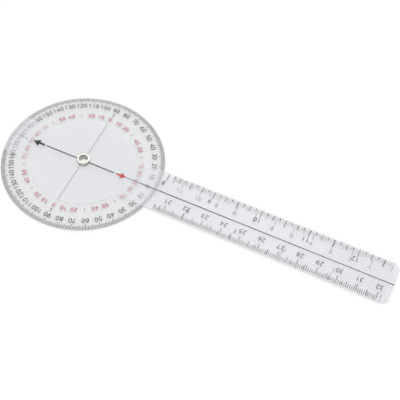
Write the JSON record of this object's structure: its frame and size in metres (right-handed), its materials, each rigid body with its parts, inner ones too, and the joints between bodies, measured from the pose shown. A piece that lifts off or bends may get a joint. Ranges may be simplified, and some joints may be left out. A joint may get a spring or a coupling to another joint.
{
  "type": "goniometer",
  "caption": "Flat clear goniometer: a round dial with a straight arm, and a second arm with a round hub that turns on a hollow metal eyelet.",
  "frame": {"origin": "on the pivot axis, in the underside of the stationary arm's sheet", "axes": "+X from the pivot along the folded arms to their tips, +Y across the arms, +Z along the pivot, out of the printed faces"},
  "size_m": [0.2071, 0.0832, 0.004],
  "materials": {
    "clear_sheet": "clear, slightly milky cut sheet with a smooth face",
    "eyelet_metal": "nickel-plated, polished",
    "washer_metal": "nickel-plated, satin",
    "black_ink": "printed ink",
    "grey_ink": "printed ink, thin",
    "red_ink": "printed ink",
    "rose_ink": "printed ink, thin"
  },
  "bodies": {
    "stationary": {"stationary_arm": "clear_sheet", "pivot_eyelet": "eyelet_metal", "eyelet_washer": "washer_metal"},
    "moving": {"moving_arm": "clear_sheet"}
  },
  "joints": [
    {"name": "pivot", "type": "hinge", "parent": "stationary", "child": "moving", "pos_m": [0, 0, 0.0013], "axis": [0, 0, 1], "continuous": true}
  ]
}
